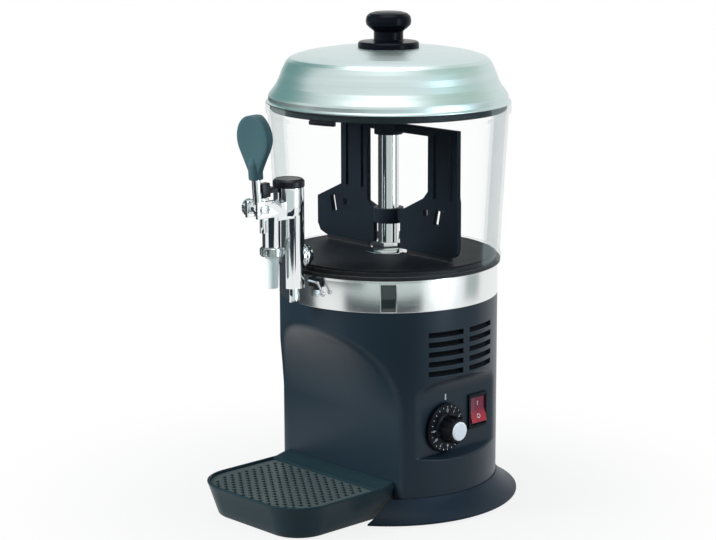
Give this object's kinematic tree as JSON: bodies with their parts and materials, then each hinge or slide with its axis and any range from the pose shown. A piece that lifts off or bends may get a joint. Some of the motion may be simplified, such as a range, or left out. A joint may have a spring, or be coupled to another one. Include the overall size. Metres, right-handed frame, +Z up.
{
  "type": "hot chocolate dispenser",
  "caption": "Round heated countertop dispenser: clear bowl with a turning stirrer, lever tap in front, lift-off steel lid, dial and switch on its side, pull-out drip tray",
  "frame": {"origin": "on the counter under the middle of the footprint, whose front is the drip tray and whose back is the flared foot; the bowl axis is 31.5 mm behind it", "axes": "+Z up, -Y to the front where the tap and the drip tray are, +X to the side with the dial and the switch"},
  "size_m": [0.25, 0.313, 0.465],
  "materials": {
    "housing_black": "black injection-moulded ABS, satin gloss",
    "foot_black": "black moulded ABS ring, satin gloss",
    "plate_steel": "plain pressed steel sheet",
    "foot_rubber": "black rubber",
    "screw_steel": "zinc plated screws",
    "inner_black": "matt black plastic, inside",
    "band_steel": "stainless steel, fine brushed",
    "window_trim": "bright trim",
    "window_smoke": "smoked clear plastic",
    "tank_steel": "stainless steel, deep drawn",
    "heater_steel": "dull heat-coloured steel tube",
    "plate_black": "black non-stick coated aluminium",
    "seal_rubber": "black silicone rubber",
    "motor_metal": "cast and turned motor housing",
    "control_grey": "moulded control body",
    "dial_black": "black moulded knob with pale marks",
    "cap_white": "white cap",
    "rocker_red": "red translucent switch rocker",
    "bowl_clear": "clear moulded plastic",
    "column_steel": "polished stainless steel tube",
    "bush_brass": "sintered bronze bush",
    "stirrer_black": "black moulded food-grade plastic",
    "wiper_rubber": "black silicone",
    "tap_chrome": "bright chrome plated brass",
    "nozzle_pale": "pale moulded nozzle",
    "tap_black": "black moulded plastic",
    "valve_rubber": "dark valve rubber",
    "paddle_black": "black moulded paddle",
    "lid_steel": "spun stainless steel",
    "knob_black": "black moulded knob",
    "tray_black": "black moulded tray, satin gloss",
    "grille_grey": "dark grey moulded grille"
  },
  "bodies": {
    "base": {"housing": "housing_black", "base_ring": "foot_black", "base_plate": "plate_steel", "rubber_feet": "foot_rubber", "base_screws": "screw_steel", "vent_louvres": "inner_black", "steel_band": "band_steel", "window_pane": "window_smoke", "window_frame": "window_trim", "water_tank": "tank_steel", "heating_element": "heater_steel", "heated_plate": "plate_black", "plate_seal": "seal_rubber", "gear_motor": "motor_metal", "motor_bridge": "plate_steel", "thermostat": "control_grey", "dial_nut": "screw_steel", "switch_case": "inner_black", "cable_gland": "inner_black", "gland_nut": "inner_black", "bowl": "bowl_clear", "bowl_latch": "tap_black", "latch_hook": "screw_steel", "column_tube": "column_steel", "column_nut": "column_steel", "shaft_bushing": "bush_brass", "inlet_gasket": "seal_rubber", "tap_inlet": "tap_chrome", "tap_body": "tap_chrome", "tap_plug": "tap_chrome", "tap_cap": "tap_black", "spout_nut": "tap_chrome", "spout_nozzle": "nozzle_pale", "pivot_pin": "tap_chrome", "pivot_nut": "tap_chrome"},
    "stirrer": {"drive_shaft": "column_steel", "stirrer_frame": "stirrer_black", "stirrer_wiper": "wiper_rubber"},
    "dial": {"dial_spindle": "screw_steel", "dial_knob": "dial_black", "dial_cap": "cap_white"},
    "rocker": {"switch_rocker": "rocker_red"},
    "lever": {"lever_stem": "tap_chrome", "lever_link": "tap_black", "lever_paddle": "paddle_black"},
    "valve": {"valve_plunger": "valve_rubber"},
    "lid": {"lid_shell": "lid_steel", "lid_seal": "seal_rubber", "lid_tab": "tap_black", "lid_knob": "knob_black", "knob_screw": "screw_steel"},
    "tray": {"drip_tray": "tray_black"},
    "grille": {"drip_grille": "grille_grey"}
  },
  "joints": [
    {"name": "stirrer_spin", "type": "hinge", "parent": "base", "child": "stirrer", "pos_m": [0, 0.0315, 0.24], "axis": [0, 0, 1], "continuous": true},
    {"name": "dial_turn", "type": "hinge", "parent": "base", "child": "dial", "pos_m": [0.0914, 0.0145, 0.0835], "axis": [1, 0, 0], "range_deg": [-270, 0]},
    {"name": "switch_rock", "type": "hinge", "parent": "base", "child": "rocker", "pos_m": [0.088, 0.0595, 0.0915], "axis": [0, 1, 0], "range_deg": [0, 16]},
    {"name": "tap_lever", "type": "hinge", "parent": "base", "child": "lever", "pos_m": [0, -0.1315, 0.297], "axis": [1, 0, 0], "range_deg": [0, 40], "stiffness_Nm_per_rad": 0.5, "springref_deg": -11.46},
    {"name": "valve_lift", "type": "slide", "parent": "base", "child": "valve", "axis": [0, 0, 1], "range_m": [0, 0.0095]},
    {"name": "lid_lift", "type": "slide", "parent": "base", "child": "lid", "axis": [0, 0, 1], "range_m": [0, 0.12]},
    {"name": "tray_pull", "type": "slide", "parent": "base", "child": "tray", "axis": [0, -1, 0], "range_m": [0, 0.14]},
    {"name": "grille_lift", "type": "slide", "parent": "tray", "child": "grille", "axis": [0, 0, 1], "range_m": [0, 0.03]}
  ],
  "couplings": [
    {"joint": "valve_lift", "follows": "tap_lever", "m_per_rad": 0.013}
  ]
}
